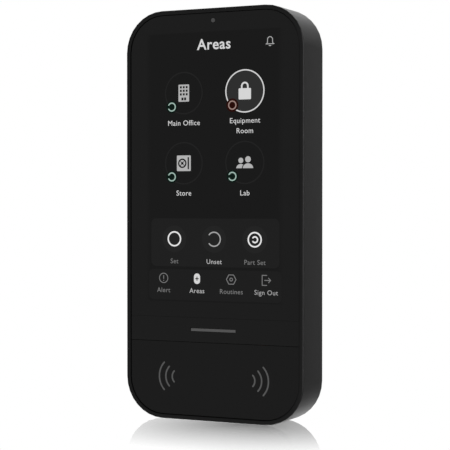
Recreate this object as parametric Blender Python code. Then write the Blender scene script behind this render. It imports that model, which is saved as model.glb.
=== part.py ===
"""Wall-mounted touch-screen alarm keypad, as an assembly of separate parts.

Sizes are in millimetres, and the shape helpers turn them into Blender's metres.
Frame: the origin is the centre of the bracket's wall face, +Z is up, the screen
faces -Y, and +X is to the right of someone who stands in front of the keypad.
"""

import math

import bmesh
import bpy
from mathutils import Matrix

MM = 0.001

# Driving dimensions of the whole keypad
WIDTH = 80.0
HEIGHT = 168.0
DEPTH = 21.5
CORNER = 16.8
WALL = 1.8
GAP = 0.3

# Levels along Y, from the screen back to the wall
RIM_Y = -DEPTH
FRONT_Y = RIM_Y + 0.7
PANEL_T = 1.05
PANEL_BACK_Y = FRONT_Y + PANEL_T
CHASSIS_FRONT_Y = -19.45
CHASSIS_FLOOR_Y = -15.8
SKIN_BACK_Y = -17.75
CHASSIS_BACK_Y = -14.6
BOARD_FRONT_Y = -12.6
BOARD_BACK_Y = -11.0
FLOOR_IN_Y = -3.8
FLOOR_OUT_Y = -2.3
PLATE_Y = -2.0
RIM_BACK_Y = -0.6

# Front panels: the seam heights, and the insets from the outer wall
PANEL_INSET = WALL + 0.12
TAPE_INSET = WALL + 1.1
STRIP_TOP_Z = -41.9
STRIP_BOTTOM_Z = -52.0
STRIP_TOP_SEAM = 0.06
STRIP_BOTTOM_SEAM = 0.2
PANEL_ROUND = 0.15

# Display window: a 5 inch 16:9 portrait screen
SCREEN_W = 62.0
SCREEN_H = 110.0
SCREEN_Z = 19.5
LCD_BORDER = 1.5
LCD_TOP_Z = SCREEN_Z + SCREEN_H / 2 + 2.0
LCD_BOTTOM_Z = SCREEN_Z - SCREEN_H / 2 - 4.0
LCD_HALF_W = SCREEN_W / 2 + LCD_BORDER

# Centres of the light sensor above the screen, and of the card reader below it
SENSOR_Z = 79.0
READER_Z = -66.9

# Bracket, hooks and slide
SLIDE = 8.0
BRACKET_HALF_W = 36.8
BRACKET_TOP_Z = 80.8
BRACKET_BOTTOM_Z = -73.0
HOOKS = [(side * 25.0, z) for side in (-1, 1) for z in (50.0, -32.0)]
HOOK_HALF_W = 4.5
NECK_H = 3.0
FINGER_H = 10.0
FINGER_Y = (-5.9, -4.1)
CABLE_OPENING = (14.0, 14.0, 40.0)
POCKET = (16.0, 12.0, 42.0)
POCKET_FLOOR_Y = -9.4

# Locking screw and the bracket's lip
LOCK_Y = -4.2
LIP_HALF_W = 8.0
LIP_TOP_Z = -76.1
LIP_BOTTOM_Z = -83.7
LIP_FRONT_Y = -6.8
LOCK_CEILING_Z = -75.8
LOCK_PITCH = 0.7

# Switches and the external supply terminal
TAMPER_X, TAMPER_Z = 0.0, -17.0
POWER_X, POWER_Z = 25.0, 5.0
TERMINAL_Z = 22.0

# Screws that hold the case together, as (x, z)
CASE_SCREWS = [(-30.0, 76.2), (30.0, 76.2), (-30.0, -76.2), (30.0, -76.2)]
BOARD_SCREWS = [(-27.0, 62.5), (27.0, 62.5), (-27.0, -34.5), (27.0, -34.5)]

# Two AA cells lie across the bay, one above the other
CELL_R = 7.05
CELL_LENGTH = 49.2
CELL_NUB = 1.3
CELL_Y = -10.5
CELL_Z = (-49.35, -63.65)
TRAY_HALF_W = 28.6
TRAY_Z = (-71.7, -41.3)
TRAY_Y = (-17.6, -4.1)
DOOR_HALF_W = 33.2
DOOR_Z = (-71.2, -41.4)
DOOR_SCREW_X = 30.9
DOOR_SCREW_Z = -56.5

CORNER_STEPS = 8


# ---------------------------------------------------------------- helpers


def clear_scene():
    for obj in list(bpy.data.objects):
        bpy.data.objects.remove(obj)


def material(name, colour, roughness, metallic=0.0):
    """A Principled material, made once and then reused."""
    found = bpy.data.materials.get(name)
    if found:
        return found
    made = bpy.data.materials.new(name)
    made.use_nodes = True
    shader = made.node_tree.nodes["Principled BSDF"]
    shader.inputs["Base Color"].default_value = (*colour, 1.0)
    shader.inputs["Roughness"].default_value = roughness
    shader.inputs["Metallic"].default_value = metallic
    return made


def finish(name, bm, surface, at=(0.0, 0.0, 0.0), smooth=True):
    """The bmesh as a named object at a place, with its faces pointing outwards."""
    bmesh.ops.recalc_face_normals(bm, faces=bm.faces)
    bmesh.ops.scale(bm, vec=(MM, MM, MM), verts=bm.verts)
    mesh = bpy.data.meshes.new(name)
    bm.to_mesh(mesh)
    bm.free()
    if smooth:
        mesh.shade_smooth()
        mesh.set_sharp_from_angle(angle=math.radians(30))
    obj = bpy.data.objects.new(name, mesh)
    obj.location = [value * MM for value in at]
    if surface:
        mesh.materials.append(surface)
    bpy.context.scene.collection.objects.link(obj)
    return obj


def rounded_outline(half_w, half_h, radius, steps=CORNER_STEPS):
    """A rounded rectangle as (x, z) points round its centre."""
    corners = ((1, 1, 0), (-1, 1, 90), (-1, -1, 180), (1, -1, 270))
    points = []
    for side_x, side_z, start in corners:
        for step in range(steps + 1):
            angle = math.radians(start + 90 * step / steps)
            x = side_x * (half_w - radius) + radius * math.cos(angle)
            z = side_z * (half_h - radius) + radius * math.sin(angle)
            points.append((x, z))
    return points


def inset_outline(inset):
    """The keypad's outer outline, moved inwards by a distance."""
    return rounded_outline(WIDTH / 2 - inset, HEIGHT / 2 - inset, CORNER - inset)


def loft(name, rings, surface, at=(0.0, 0.0, 0.0)):
    """A closed solid through rings of (x, z) outlines, each at its own y."""
    bm = bmesh.new()
    made = [[bm.verts.new((x, y, z)) for x, z in points] for points, y in rings]
    for first, second in zip(made, made[1:]):
        for index in range(len(first)):
            after = (index + 1) % len(first)
            bm.faces.new((first[index], first[after], second[after], second[index]))
    bm.faces.new(made[0])
    bm.faces.new(made[-1])
    return finish(name, bm, surface, at)


def plate(name, points, y_range, surface=None, at=(0.0, 0.0, 0.0)):
    """A flat outline of (x, z) points, extruded along Y."""
    return loft(name, [(points, y_range[0]), (points, y_range[1])], surface, at)


def box(name, x_range, y_range, z_range, surface=None, bevel=0.0):
    """A box between two values on each axis, with its origin at its centre."""
    spans = (x_range, y_range, z_range)
    centre = [(low + high) / 2 for low, high in spans]
    size = [high - low for low, high in spans]
    bm = bmesh.new()
    bmesh.ops.create_cube(bm, size=1.0)
    bmesh.ops.scale(bm, vec=size, verts=bm.verts)
    obj = finish(name, bm, surface, centre, smooth=False)
    if bevel:
        round_edges(obj, bevel)
    return obj


def turned(name, profile, at, surface=None, axis="Y", steps=24):
    """A solid of revolution from (radius, height) points along an axis.

    The profile runs from the bottom of the axis to its top, and it starts and
    ends on the axis, so the solid is closed.
    """
    bm = bmesh.new()
    rings = []
    for radius, height in profile:
        turn = [2 * math.pi * step / steps for step in range(steps)]
        count = 1 if radius == 0 else steps
        rings.append(
            [
                bm.verts.new((radius * math.cos(a), radius * math.sin(a), height))
                for a in turn[:count]
            ]
        )
    for low, high in zip(rings, rings[1:]):
        for index in range(steps):
            after = (index + 1) % steps
            corners = [
                low[index % len(low)],
                low[after % len(low)],
                high[after % len(high)],
                high[index % len(high)],
            ]
            bm.faces.new(list(dict.fromkeys(corners)))
    if axis == "Y":
        bmesh.ops.rotate(bm, matrix=rotation("X", -90), verts=bm.verts)
    if axis == "X":
        bmesh.ops.rotate(bm, matrix=rotation("Y", 90), verts=bm.verts)
    return finish(name, bm, surface, at)


def rotation(axis, degrees):
    return Matrix.Rotation(math.radians(degrees), 3, axis)


def rod(name, radius, span, at, surface=None, axis="Y", steps=24):
    """A plain cylinder along an axis, between two offsets from its place."""
    profile = [(0, span[0]), (radius, span[0]), (radius, span[1]), (0, span[1])]
    return turned(name, profile, at, surface, axis, steps)


def strip(name, path, x_range, thickness, surface):
    """A flat flexible strip: a path of (y, z) points, given a thickness and a width."""
    bm = bmesh.new()
    count = len(path)
    sides = []
    for index, (y, z) in enumerate(path):
        before = path[max(index - 1, 0)]
        after = path[min(index + 1, count - 1)]
        along = (after[0] - before[0], after[1] - before[1])
        length = math.hypot(*along)
        normal = (-along[1] / length, along[0] / length)
        half = thickness / 2
        sides.append(
            [
                bm.verts.new((x, y + sign * normal[0] * half, z + sign * normal[1] * half))
                for x, sign in (
                    (x_range[0], -1),
                    (x_range[1], -1),
                    (x_range[1], 1),
                    (x_range[0], 1),
                )
            ]
        )
    for first, second in zip(sides, sides[1:]):
        for corner in range(4):
            after = (corner + 1) % 4
            bm.faces.new((first[corner], first[after], second[after], second[corner]))
    bm.faces.new(sides[0])
    bm.faces.new(sides[-1])
    finish(name, bm, surface)


def bent(corners, radius, steps=4):
    """A path of (y, z) corners with each inner corner rounded."""
    points = [corners[0]]
    for before, here, after in zip(corners, corners[1:], corners[2:]):
        starts = []
        for other in (before, after):
            span = math.dist(here, other)
            share = min(radius / span, 0.5)
            starts.append([h + (o - h) * share for h, o in zip(here, other)])
        for step in range(steps + 1):
            t = step / steps
            points.append(
                tuple(
                    (1 - t) ** 2 * a + 2 * t * (1 - t) * h + t**2 * b
                    for a, h, b in zip(starts[0], here, starts[1])
                )
            )
    points.append(corners[-1])
    return points


def round_edges(obj, width, segments=1, angle=40):
    modifier = obj.modifiers.new("edges", "BEVEL")
    modifier.width = width * MM
    modifier.segments = segments
    modifier.limit_method = "ANGLE"
    modifier.angle_limit = math.radians(angle)
    modifier.use_clamp_overlap = True


def boolean(obj, other, operation):
    """Cuts the other shape out of an object, or joins it on, and hides the other."""
    other.hide_render = True
    other.display_type = "WIRE"
    modifier = obj.modifiers.new(other.name, "BOOLEAN")
    modifier.operation = operation
    modifier.object = other


def cut(obj, *others):
    for other in others:
        boolean(obj, other, "DIFFERENCE")


def unite(obj, *others):
    for other in others:
        boolean(obj, other, "UNION")


def coil(name, at, radii, span, wire, turns, tilt, steps=10, sides=5):
    """A wire spring as one closed tube, along Z and then tilted by (axis, degrees)."""
    bm = bmesh.new()
    total = int(turns * steps)
    rings = []
    for index in range(total + 1):
        share = index / total
        angle = 2 * math.pi * turns * share
        radius = radii[0] + (radii[1] - radii[0]) * share
        height = span[0] + (span[1] - span[0]) * share
        ring = []
        for side in range(sides):
            around = 2 * math.pi * side / sides
            out = radius + wire / 2 * math.cos(around)
            up = height + wire / 2 * math.sin(around)
            ring.append(bm.verts.new((out * math.cos(angle), out * math.sin(angle), up)))
        rings.append(ring)
    for first, second in zip(rings, rings[1:]):
        for side in range(sides):
            after = (side + 1) % sides
            bm.faces.new((first[side], first[after], second[after], second[side]))
    bm.faces.new(rings[0])
    bm.faces.new(rings[-1])
    bmesh.ops.rotate(bm, matrix=rotation(*tilt), verts=bm.verts)
    finish(name, bm, steel(), at)


# ---------------------------------------------------------------- materials


def case_plastic():
    return material("case_plastic", (0.030, 0.030, 0.031), 0.42)


def bracket_plastic():
    return material("bracket_plastic", (0.045, 0.045, 0.047), 0.5)


def inner_plastic():
    return material("inner_plastic", (0.10, 0.10, 0.11), 0.55)


def panel_glass():
    return material("panel_glass", (0.012, 0.012, 0.012), 0.12)


def cover_plastic():
    return material("cover_plastic", (0.011, 0.011, 0.011), 0.2)


def light_guide():
    return material("light_guide", (0.55, 0.56, 0.58), 0.35)


def steel():
    return material("steel", (0.62, 0.62, 0.63), 0.28, 1.0)


def board_green():
    return material("circuit_board", (0.02, 0.13, 0.06), 0.4)


def flex_film():
    return material("flex_film", (0.45, 0.20, 0.05), 0.35)


def black_foam():
    return material("black_foam", (0.02, 0.02, 0.02), 0.9)


def copper():
    return material("copper", (0.80, 0.42, 0.25), 0.3, 1.0)


def black_chip():
    return material("black_chip", (0.02, 0.02, 0.022), 0.5)


def cell_wrap():
    return material("cell_wrap", (0.14, 0.17, 0.20), 0.3)


def terminal_green():
    return material("terminal_green", (0.04, 0.30, 0.12), 0.45)


# ---------------------------------------------------------------- case


def fillet(inset_from, y_from, inset_to, y_to, corner, steps=4):
    """Points of a quarter round between two (inset, y) ends, about a corner."""
    points = []
    for step in range(steps + 1):
        t = step / steps
        weights = ((1 - t) ** 2, 2 * t * (1 - t), t**2)
        inset = weights[0] * inset_from + weights[1] * corner[0] + weights[2] * inset_to
        y = weights[0] * y_from + weights[1] * corner[1] + weights[2] * y_to
        points.append((inset, y))
    return points


def rear_housing():
    """One moulded tub: side walls, back wall and the recess for the bracket."""
    front_round, back_round, back_rim = 0.9, 1.2, 2.4
    section = [(WALL, FLOOR_IN_Y), (WALL, RIM_Y + 0.2)]
    section += [(WALL - 0.2, RIM_Y)]
    section += fillet(front_round, RIM_Y, 0, RIM_Y + front_round, (0, RIM_Y))
    section += fillet(0, RIM_BACK_Y - back_round, back_round, RIM_BACK_Y, (0, RIM_BACK_Y))
    section += [(back_rim - 0.2, RIM_BACK_Y), (back_rim, RIM_BACK_Y - 0.2)]
    section += [(back_rim, FLOOR_OUT_Y)]
    rings = [(inset_outline(inset), y) for inset, y in section]
    housing = loft("rear_housing", rings, case_plastic())
    add_thick_parts(housing)
    cut_screw_bosses(housing)
    cut_wiring_pocket(housing)
    cut_lip_pocket(housing)
    cut_back_wall(housing)


def add_thick_parts(housing):
    """The screw bosses, and the walls of the wiring pocket and of the lip's notch."""
    skin = 1.2
    root_y = FLOOR_IN_Y + 0.6
    half_w, low_z, high_z = POCKET
    side = half_w + skin
    pocket_y = (POCKET_FLOOR_Y - skin, root_y)
    pocket = box("pocket_walls", (-side, side), pocket_y, (low_z - skin, high_z + skin))
    side = LIP_HALF_W + 0.5 + skin
    lip_y = (LIP_FRONT_Y - 0.6 - skin, root_y)
    lip = box("lip_walls", (-side, side), lip_y, (-HEIGHT / 2 + 1.0, -71.9))
    unite(housing, pocket, lip)
    for index, (x, z) in enumerate(CASE_SCREWS, 1):
        unite(housing, rod(f"boss_{index}", 3.4, (-8.0, root_y), (x, 0, z), steps=20))


def cut_screw_bosses(housing):
    head_r, hole_r, seat_y = 2.7, 1.4, -4.6
    for index, (x, z) in enumerate(CASE_SCREWS, 1):
        profile = [(0, -9), (hole_r, -9), (hole_r, seat_y), (head_r, seat_y), (head_r, 0), (0, 0)]
        cut(housing, turned(f"boss_hole_{index}", profile, (x, 0, z), steps=20))


def cut_wiring_pocket(housing):
    """The pocket behind the bracket's cable opening, with a window for the header."""
    half_w, low_z, high_z = POCKET
    hollow_y = (POCKET_FLOOR_Y, 1.0)
    window_y = (-12.0, POCKET_FLOOR_Y + 1.0)
    window_z = (TERMINAL_Z - 6.2, TERMINAL_Z + 6.2)
    cut(
        housing,
        box("pocket_hollow", (-half_w, half_w), hollow_y, (low_z, high_z)),
        box("pocket_window", (-5.1, 5.1), window_y, window_z),
    )


def cut_lip_pocket(housing):
    """The notch that takes the bracket's lip, and the hole for the locking screw."""
    half_w = LIP_HALF_W + 0.5
    notch_y = (LIP_FRONT_Y - 0.6, 1.0)
    hole_z = (LOCK_CEILING_Z - 1, -70.0)
    cut(
        housing,
        box("lip_notch", (-half_w, half_w), notch_y, (-86.0, LOCK_CEILING_Z)),
        rod("lock_hole", 1.6, hole_z, (0, LOCK_Y, 0), axis="Z", steps=20),
    )


def cut_back_wall(housing):
    slack = 0.4
    through_y = (-6.0, 0.5)
    for index, (x, z) in enumerate(HOOKS, 1):
        cut(
            housing,
            box(
                f"hook_slot_{index}",
                (x - HOOK_HALF_W - slack, x + HOOK_HALF_W + slack),
                through_y,
                (z - SLIDE - slack, z + NECK_H + GAP),
            ),
        )
    cut(
        housing,
        box("door_hole", (-DOOR_HALF_W, DOOR_HALF_W), through_y, DOOR_Z),
        rod("tamper_hole", 2.9, through_y, (TAMPER_X, 0, TAMPER_Z)),
        rod("power_hole", 3.8, through_y, (POWER_X, 0, POWER_Z)),
    )
    for index in range(5):
        x = -19.0 + 2.0 * (index - 2)
        slot = box(f"sound_slot_{index}", (x - 0.45, x + 0.45), (-11.7, -6.7), (-86, -81))
        cut(housing, slot)


def chassis():
    """The mid-frame between the front panels and the boards, with its screw posts."""
    outline = inset_outline(WALL + 0.5)
    frame = plate("chassis", outline, (CHASSIS_FRONT_Y, CHASSIS_BACK_Y), inner_plastic())
    case_y = (CHASSIS_BACK_Y - 1.0, -8.3)
    board_y = (CHASSIS_BACK_Y - 0.6, BOARD_FRONT_Y - 0.2)
    for index, (x, z) in enumerate(CASE_SCREWS, 1):
        unite(frame, rod(f"post_{index}", 3.0, case_y, (x, 0, z), steps=16))
    for index, (x, z) in enumerate(BOARD_SCREWS, 1):
        unite(frame, rod(f"board_post_{index}", 2.2, board_y, (x, 0, z), steps=16))
    cut_pockets(frame)
    for index, (x, z) in enumerate(CASE_SCREWS, 1):
        cut(frame, rod(f"post_hole_{index}", 1.2, (-15.0, -7.0), (x, 0, z), steps=16))
    for index, (x, z) in enumerate(BOARD_SCREWS, 1):
        cut(frame, rod(f"board_pilot_{index}", 0.9, (-15.2, -11.0), (x, 0, z), steps=12))


def cut_pockets(frame):
    """Pockets for the screen, the reader, the light bar and the cells, and flex slots."""
    front_y = CHASSIS_FRONT_Y - 2.0
    half_w = LCD_HALF_W + 0.4
    screen_z = (LCD_BOTTOM_Z - 0.4, LCD_TOP_Z + 0.4)
    reader = rounded_outline(34.2, 13.4, 9.4, 6)
    low_slot_z, high_slot_z = (-41.5, -39.5), (77.5, 79.9)
    cut(
        frame,
        box("display_pocket", (-half_w, half_w), (front_y, CHASSIS_FLOOR_Y), screen_z),
        box("battery_pocket", (-33.4, 33.4), (SKIN_BACK_Y, -10.0), (-72.0, -40.9)),
        plate("reader_pocket", reader, (front_y, -18.45), at=(0, 0, READER_Z)),
        box("light_pocket", (-14.8, 14.8), (front_y, -18.5), (-50.2, -43.6)),
        box("sensor_pocket", (-4.6, 4.6), (front_y, -17.4), (77.5, 81.0)),
        box("flex_channel", (18.0, 25.0), (front_y, -18.9), (-55.0, -41.0)),
        box("reader_flex_slot", (18.0, 25.0), (front_y, -10.0), low_slot_z),
        box("display_flex_slot", (-9.0, 9.0), (front_y, -10.0), low_slot_z),
        box("touch_flex_slot", (9.0, 19.0), (front_y, -10.0), high_slot_z),
    )


def case_screws():
    """Pan-head screws from the back: a crowned head with a hex socket, and a shank."""
    head_r, shank_r, seat_y = 2.4, 1.1, -4.5
    for index, (x, z) in enumerate(CASE_SCREWS, 1):
        screw(f"case_screw_{index}", (x, seat_y, z), head_r, 1.5, shank_r, 9.2)


def board_screws():
    for index, (x, z) in enumerate(BOARD_SCREWS, 1):
        screw(f"board_screw_{index}", (x, BOARD_BACK_Y + 0.1, z), 1.9, 1.0, 0.8, 3.4)


def screw(name, at, head_r, head_h, shank_r, shank_l):
    """A screw along Y whose head faces the wall. Its place is under the head."""
    profile = [
        (0, -shank_l),
        (shank_r * 0.5, -shank_l),
        (shank_r, -shank_l + shank_r),
        (shank_r, 0),
        (head_r, 0),
        (head_r, head_h * 0.5),
        (head_r * 0.82, head_h * 0.9),
        (head_r * 0.6, head_h),
        (0, head_h),
    ]
    made = turned(name, profile, at, steel(), steps=16)
    socket_r = head_r * 0.45
    socket_y = (head_h * 0.35, head_h + 1)
    socket = rod(f"{name}_socket", socket_r, socket_y, at, steps=6)
    cut(made, socket)


# ---------------------------------------------------------------- front panels


def band_outline(low_z, high_z, inset=PANEL_INSET):
    """The case's outline, inset and kept between two heights."""
    half_w = WIDTH / 2 - inset
    half_h = HEIGHT / 2 - inset
    whole = inset_outline(inset)
    kept = [(x, z) for x, z in whole if low_z < z < high_z]
    if high_z < half_h:
        kept += [(-half_w, high_z), (half_w, high_z)]
    if low_z > -half_h:
        kept += [(-half_w, low_z), (half_w, low_z)]
    middle = (max(low_z, -half_h) + min(high_z, half_h)) / 2
    return sorted(set(kept), key=lambda p: math.atan2(p[1] - middle, p[0]))


def front_panel(name, low_z, high_z, surface):
    """A flat panel with a rounded outer edge, and square edges at its seams."""
    edge, level = PANEL_INSET + PANEL_ROUND, FRONT_Y + PANEL_ROUND
    section = [(PANEL_INSET, PANEL_BACK_Y)]
    section += fillet(PANEL_INSET, level, edge, FRONT_Y, (PANEL_INSET, FRONT_Y))
    rings = [(band_outline(low_z, high_z, inset), y) for inset, y in section]
    return loft(name, rings, surface)


def touch_glass():
    low_z = STRIP_TOP_Z + STRIP_TOP_SEAM / 2
    glass = front_panel("touch_glass", low_z, HEIGHT, panel_glass())
    cut(glass, rod("sensor_hole", 1.05, (FRONT_Y - 1, -18.0), (0, 0, SENSOR_Z), steps=24))


def indicator_strip():
    """The narrow strip with its light slot, and two pads that rest on the chassis."""
    low_z = STRIP_BOTTOM_Z + STRIP_BOTTOM_SEAM / 2
    high_z = STRIP_TOP_Z - STRIP_TOP_SEAM / 2
    panel = front_panel("indicator_strip", low_z, high_z, panel_glass())
    pad_y = (PANEL_BACK_Y - 0.4, CHASSIS_FRONT_Y - 0.05)
    for side, (near_x, far_x) in ((-1, (16.5, 34.0)), (1, (27.0, 34.0))):
        pad_x = sorted((side * near_x, side * far_x))
        unite(panel, box(f"strip_pad_{side}", pad_x, pad_y, (-50.5, -43.5)))
    cut(panel, box("bar_slot", (-10.3, 10.3), (FRONT_Y - 1, -18.0), (-47.65, -46.15)))


def indicator_light_bar():
    """A T-shaped light guide: a thin bar in the strip, and a wider foot behind it."""
    bar = box(
        "indicator_light_bar",
        (-10.1, 10.1),
        (FRONT_Y + 0.05, PANEL_BACK_Y + 0.2),
        (-47.45, -46.35),
        light_guide(),
    )
    unite(bar, box("bar_foot", (-11.5, 11.5), (-19.7, -19.35), (-48.6, -45.2)))


def reader_cover():
    high_z = STRIP_BOTTOM_Z - STRIP_BOTTOM_SEAM / 2
    front_panel("reader_cover", -HEIGHT, high_z, cover_plastic())


def frame_tape(name, outer, half_w, z_range, radius):
    """A flat ring of adhesive foam: an outline with a rounded window in it."""
    y_range = (PANEL_BACK_Y + 0.08, CHASSIS_FRONT_Y - 0.08)
    through_y = (y_range[0] - 1, y_range[1] + 1)
    low_z, high_z = z_range
    window = rounded_outline(half_w, (high_z - low_z) / 2, radius, 6)
    at = (0, 0, (low_z + high_z) / 2)
    ring = plate(name, outer, y_range, black_foam())
    cut(ring, plate(f"{name}_window", window, through_y, at=at))
    return ring


def tapes():
    outer = band_outline(STRIP_TOP_Z + 0.6, HEIGHT, TAPE_INSET)
    z_range = (LCD_BOTTOM_Z - 0.4, LCD_TOP_Z + 0.6)
    glass_tape = frame_tape("glass_tape", outer, LCD_HALF_W + 0.6, z_range, 3.0)
    cut(glass_tape, rod("tape_sensor_hole", 1.4, (-20.5, -19.0), (0, 0, SENSOR_Z), steps=16))
    outer = band_outline(-HEIGHT, STRIP_BOTTOM_Z - 0.6, TAPE_INSET)
    frame_tape("reader_cover_tape", outer, 34.4, (-80.3, -53.5), 9.6)


def light_sensor():
    """The sensor's clear window in the glass, and its small board behind."""
    rod(
        "light_sensor_window", 0.9, (FRONT_Y + 0.03, -18.95), (0, 0, SENSOR_Z), light_guide()
    )
    board = box("light_sensor_board", (-4, 4), (-18.4, -17.6), (77.9, 80.6), board_green(), 0.15)
    unite(board, box("sensor_chip", (-1.3, 1.3), (-18.8, -18.2), (78.2, 79.9)))


# ---------------------------------------------------------------- display


def display():
    box(
        "lcd_panel",
        (-LCD_HALF_W + 0.6, LCD_HALF_W - 0.6),
        (-19.45, -18.3),
        (LCD_BOTTOM_Z + 0.5, LCD_TOP_Z - 0.5),
        panel_glass(),
        0.2,
    )
    box(
        "backlight_unit",
        (-LCD_HALF_W, LCD_HALF_W),
        (-18.15, -16.0),
        (LCD_BOTTOM_Z, LCD_TOP_Z),
        steel(),
        0.4,
    )


def flex(name, connector, x_range, corners, connector_z):
    """A flat flexible cable to the main board, and the connector that takes it."""
    strip(name, bent(corners, 1.2), x_range, 0.2, flex_film())
    wider = (x_range[0] - 1.0, x_range[1] + 1.0)
    box(connector, wider, (-13.15, BOARD_FRONT_Y - 0.1), connector_z, black_chip(), 0.15)


def flexes():
    display_path = [(-17.4, -40.2), (-13.5, -40.2), (-13.5, -29.0)]
    flex("display_flex", "display_connector", (-8.0, 8.0), display_path, (-33.0, -29.5))
    touch_path = [(-19.3, 78.9), (-13.5, 78.9), (-13.5, 57.0)]
    flex("touch_flex", "touch_connector", (10.0, 18.0), touch_path, (58.0, 61.0))
    reader_path = [(-19.2, -53.8), (-19.2, -40.2), (-13.5, -40.2), (-13.5, -29.0)]
    flex("reader_flex", "reader_connector", (19.0, 24.0), reader_path, (-33.0, -29.5))


# ---------------------------------------------------------------- boards


def main_board():
    points = [(x, z + 14.0) for x, z in rounded_outline(30.0, 52.0, 2.0, 4)]
    board = plate("main_board", points, (BOARD_FRONT_Y, BOARD_BACK_Y), board_green())
    for index, (x, z) in enumerate(BOARD_SCREWS, 1):
        hole = rod(f"board_hole_{index}", 1.2, (-14, -9), (x, 0, z), steps=12)
        cut(board, hole)


def radio_parts():
    """Parts on the main board's rear face: shield can, radio module and antenna."""
    low_y = BOARD_BACK_Y + 0.1
    box("processor_shield", (-24, -3), (low_y, low_y + 2.0), (46.5, 60.5), steel(), 0.4)
    box("radio_module", (3, 18), (low_y, low_y + 2.2), (47.0, 60.0), black_chip(), 0.3)
    antenna = box("radio_antenna", (-19, 19), (low_y, -6.5), (64.6, 65.1), copper())
    unite(
        antenna,
        box("antenna_foot", (-19, -15), (low_y, low_y + 0.5), (62.5, 65.1)),
        box("antenna_top", (-19, 19), (-7.0, -6.5), (63.0, 65.1)),
    )


def sounder():
    """A round sounder that fires down through the slots in the bottom wall."""
    profile = [(0, -4.4), (0.8, -4.4), (0.8, -4.0), (4.8, -4.0), (5.0, -3.6), (5.0, 0), (0, 0)]
    turned("sounder", profile, (-19.0, -9.3, -77.4), black_chip(), "Z", 24)


def reader_antenna():
    """The card reader's antenna board, its copper coil and the ferrite behind."""
    outline = rounded_outline(33.5, 12.8, 9.0, 6)
    at = (0, 0, READER_Z)
    plate("reader_antenna_board", outline, (-19.42, -19.0), board_green(), at)
    plate("ferrite_sheet", rounded_outline(32.0, 11.5, 7.5, 6), (-18.9, -18.55), black_foam(), at)
    reader_coil(at)


def reader_coil(at):
    """A square spiral trace: three turns that step inwards, as one closed band."""
    width, pitch, turns = 0.9, 1.8, 3
    half_w, half_h = 30.0, 10.4
    path = []
    for turn in range(turns):
        x, z = half_w - turn * pitch, half_h - turn * pitch
        path += [(-x, z), (x, z), (x, -z), (-x + pitch, -z)]
        path += [(-x + pitch, z - pitch)] if turn == turns - 1 else []
    left, right = [], []
    for index, here in enumerate(path):
        before = path[max(index - 1, 0)]
        after = path[min(index + 1, len(path) - 1)]
        into, out = direction(before, here), direction(here, after)
        into = into or out
        out = out or into
        bend = (into[0] + out[0], into[1] + out[1])
        scale = 1 / (1 + into[0] * out[0] + into[1] * out[1])
        normal = (-bend[1] * scale, bend[0] * scale)
        for side, sign in ((left, 1), (right, -1)):
            side.append(
                (here[0] + sign * normal[0] * width / 2, here[1] + sign * normal[1] * width / 2)
            )
    plate("reader_antenna_coil", left + right[::-1], (-19.67, -19.52), copper(), at)


def direction(start, end):
    length = math.dist(start, end)
    return None if length == 0 else ((end[0] - start[0]) / length, (end[1] - start[1]) / length)


def indicator_led_board():
    z_range = (-49.6, -44.2)
    board = box("indicator_led_board", (-14, 14), (-19.0, -18.6), z_range, board_green(), 0.1)
    for index, x in enumerate((-7, 0, 7)):
        unite(board, box(f"led_{index}", (x - 1, x + 1), (-19.25, -18.8), (-47.6, -46.2)))


# ---------------------------------------------------------------- batteries


def battery_tray():
    """An open cradle for the two cells, with a boss at each end for the door."""
    low_z, high_z = TRAY_Z
    skin = 0.8
    tray = box("battery_tray", (-TRAY_HALF_W, TRAY_HALF_W), TRAY_Y, TRAY_Z, inner_plastic())
    for side in (-1, 1):
        at = (side * DOOR_SCREW_X, 0, DOOR_SCREW_Z)
        unite(tray, rod(f"tray_boss_{side}", 2.5, (-12.0, TRAY_Y[1]), at, steps=16))
    for side in (-1, 1):
        at = (side * DOOR_SCREW_X, 0, DOOR_SCREW_Z)
        cut(tray, rod(f"tray_pilot_{side}", 1.0, (-10.5, 0), at, steps=12))
    inner_w = TRAY_HALF_W - skin
    hollow_z = (low_z + skin, high_z - skin)
    cut(tray, box("tray_hollow", (-inner_w, inner_w), (-19, -1), hollow_z))


def batteries():
    """Two cells across the bay, facing opposite ways."""
    for index, (z, flip) in enumerate(zip(CELL_Z, (1, -1)), 1):
        profile = [
            (0, 0),
            (CELL_R - 0.5, 0),
            (CELL_R, 0.5),
            (CELL_R, CELL_LENGTH - 0.8),
            (CELL_R - 0.8, CELL_LENGTH),
            (2.75, CELL_LENGTH),
            (2.75, CELL_LENGTH + CELL_NUB),
            (0, CELL_LENGTH + CELL_NUB),
        ]
        start = -23.2 if flip > 0 else 23.2
        cell = turned(f"battery_{index}", profile, (start, CELL_Y, z), cell_wrap(), "X", 28)
        if flip < 0:
            cell.rotation_euler = (0, math.pi, 0)


def battery_contacts():
    """Spring contacts at the cells' flat ends, and plates that join the row."""
    spring_x = 27.3
    for index, (z, side) in enumerate(zip(CELL_Z, (-1, 1)), 1):
        at = (side * spring_x, CELL_Y, z)
        tilt = ("Y", -90 * side)
        coil(f"battery_spring_{index}", at, (4.6, 2.4), (0.35, 3.6), 0.6, 3, tilt)
    plate_y = (CELL_Y - 5.2, CELL_Y + 5.2)
    high, low = CELL_Z
    left, right = (-27.7, -27.4), (27.4, 27.7)
    box("negative_contact", left, plate_y, (high - 5.5, high + 5.5), steel())
    box("positive_contact", left, plate_y, (low - 5.5, low + 5.5), steel())
    box("bridge_contact", right, plate_y, (low - 5.5, high + 5.5), steel())


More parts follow.
